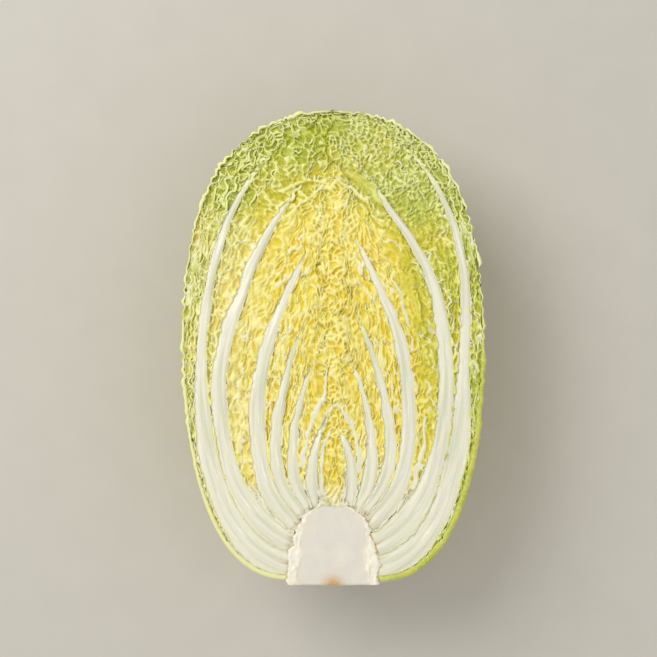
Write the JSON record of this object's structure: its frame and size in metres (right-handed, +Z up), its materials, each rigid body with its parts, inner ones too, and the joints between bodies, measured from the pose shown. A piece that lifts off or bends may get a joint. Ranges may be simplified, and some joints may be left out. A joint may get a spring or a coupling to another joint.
{
  "type": "napa cabbage half",
  "caption": "Half head of napa cabbage cut lengthwise, lying on its rounded back, with crinkled leaves on white ribs nested round a pale stem core.",
  "frame": {"origin": "middle of the half's outline, on the surface that its rounded back rests on", "axes": "+X across the head, +Y along its axis from the stem end to the tip, +Z up out of the cut face"},
  "size_m": [0.1814, 0.28, 0.084],
  "materials": {
    "core": "moist cut stem, faintly see-through, near white with a brown-edged foot",
    "leaf_green": "crinkled yellow-green blade, white rib, slight moist gloss",
    "leaf_pale": "crinkled pale green-yellow blade, white rib, slight moist gloss",
    "leaf_yellow": "tightly crinkled yellow blade, cream rib, slight moist gloss"
  },
  "bodies": {
    "root": {"core": "core", "heart_bud": "leaf_yellow", "leaf_01_outer": "leaf_green", "leaf_02_left": "leaf_green", "leaf_03_right": "leaf_green", "leaf_04_back": "leaf_pale", "leaf_05_left": "leaf_pale", "leaf_06_right": "leaf_pale", "leaf_07_back": "leaf_pale", "leaf_08_left": "leaf_pale", "leaf_09_right": "leaf_yellow", "leaf_10_back": "leaf_yellow", "leaf_11_left": "leaf_yellow", "leaf_12_right": "leaf_yellow", "leaf_13_back": "leaf_yellow", "leaf_14_left": "leaf_yellow", "leaf_15_right": "leaf_yellow", "leaf_16_back": "leaf_yellow", "leaf_17_left": "leaf_yellow", "leaf_18_right": "leaf_yellow"}
  },
  "joints": []
}
